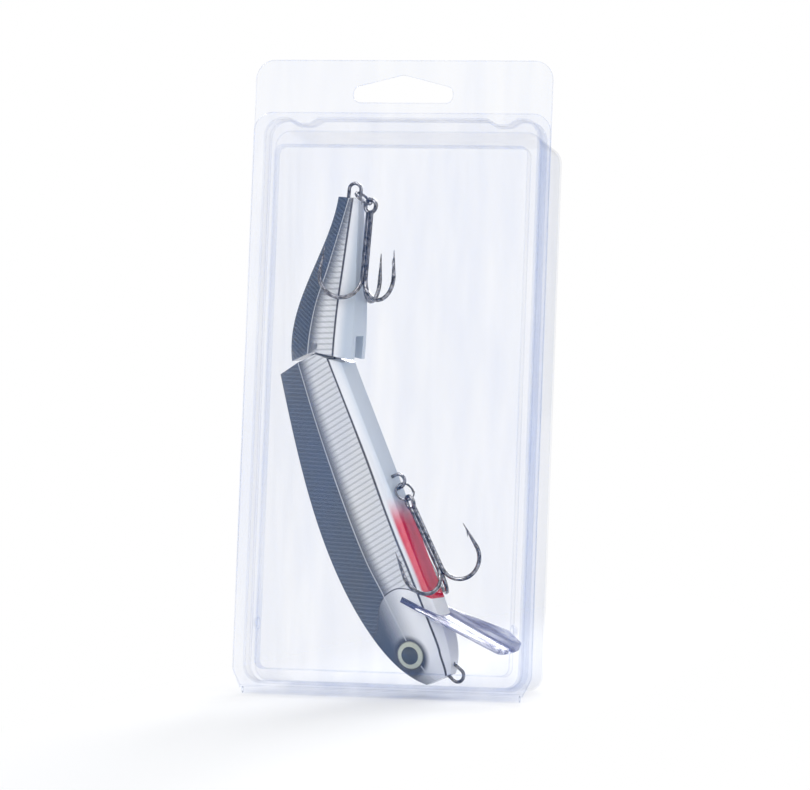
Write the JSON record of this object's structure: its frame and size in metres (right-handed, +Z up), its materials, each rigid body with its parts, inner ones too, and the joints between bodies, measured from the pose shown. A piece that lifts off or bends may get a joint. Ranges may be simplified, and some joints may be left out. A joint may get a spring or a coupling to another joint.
{
  "type": "clear plastic clamshell pack with a jointed diving lure inside",
  "caption": "Clear two-half clamshell pack with a tall hanging header, holding a jointed diving lure with a clear lip and treble hooks.",
  "frame": {"origin": "bottom centre of the standing pack's box, on the ground", "axes": "+X to the viewer's right, +Y to the back of the tray, +Z up; the pack leans back on its hinge bead and rear edge"},
  "size_m": [0.0952, 0.0616, 0.1971],
  "materials": {
    "clear_sheet": "glossy clear",
    "lure_paint": "pearl over foil",
    "clear_lip": "glossy clear, violet cast",
    "eye": "glossy",
    "dark_nickel": "polished dark nickel",
    "pin_steel": "plain"
  },
  "bodies": {
    "tray": {"tray": "clear_sheet", "lure_front_section": "lure_paint", "diving_lip": "clear_lip", "eye_left": "eye", "eye_right": "eye", "line_tie": "dark_nickel", "belly_hanger": "dark_nickel"},
    "lid": {"lid": "clear_sheet"},
    "tail": {"lure_tail_section": "lure_paint", "joint_pin": "pin_steel", "tail_hanger": "dark_nickel"},
    "belly_ring": {"belly_split_ring": "dark_nickel"},
    "belly_treble": {"belly_treble_hook": "dark_nickel"},
    "tail_ring": {"tail_split_ring": "dark_nickel"},
    "tail_treble": {"tail_treble_hook": "dark_nickel"}
  },
  "joints": [
    {"name": "lid_hinge", "type": "hinge", "parent": "tray", "child": "lid", "pos_m": [0, -0.02968, 0.0011], "axis": [1, 0, 0], "range_deg": [0, 180]},
    {"name": "tail_swing", "type": "hinge", "parent": "tray", "child": "tail", "pos_m": [-0.02715, -0.00014, 0.10785], "axis": [-0.2436, -0.9698, -0.0118], "range_deg": [-4, 4]},
    {"name": "belly_ring_swing", "type": "hinge", "parent": "tray", "child": "belly_ring", "pos_m": [0.00009, -0.00645, 0.06418], "axis": [0.5589, -0.6924, 0.4563], "range_deg": [0, 8]},
    {"name": "belly_treble_swing", "type": "hinge", "parent": "belly_ring", "child": "belly_treble", "pos_m": [0.0026, -0.00715, 0.06004], "axis": [0.6605, 0.7044, 0.2599], "range_deg": [-8, 1]},
    {"name": "tail_ring_swing", "type": "hinge", "parent": "tail", "child": "tail_ring", "pos_m": [-0.01563, -0.00361, 0.15534], "axis": [0.6205, -0.1652, 0.7666], "range_deg": [-1, 1]},
    {"name": "tail_treble_swing", "type": "hinge", "parent": "tail_ring", "child": "tail_treble", "pos_m": [-0.01212, -0.00495, 0.15221], "axis": [0.3603, 0.9283, -0.0916], "range_deg": [-3, 0.5]}
  ]
}
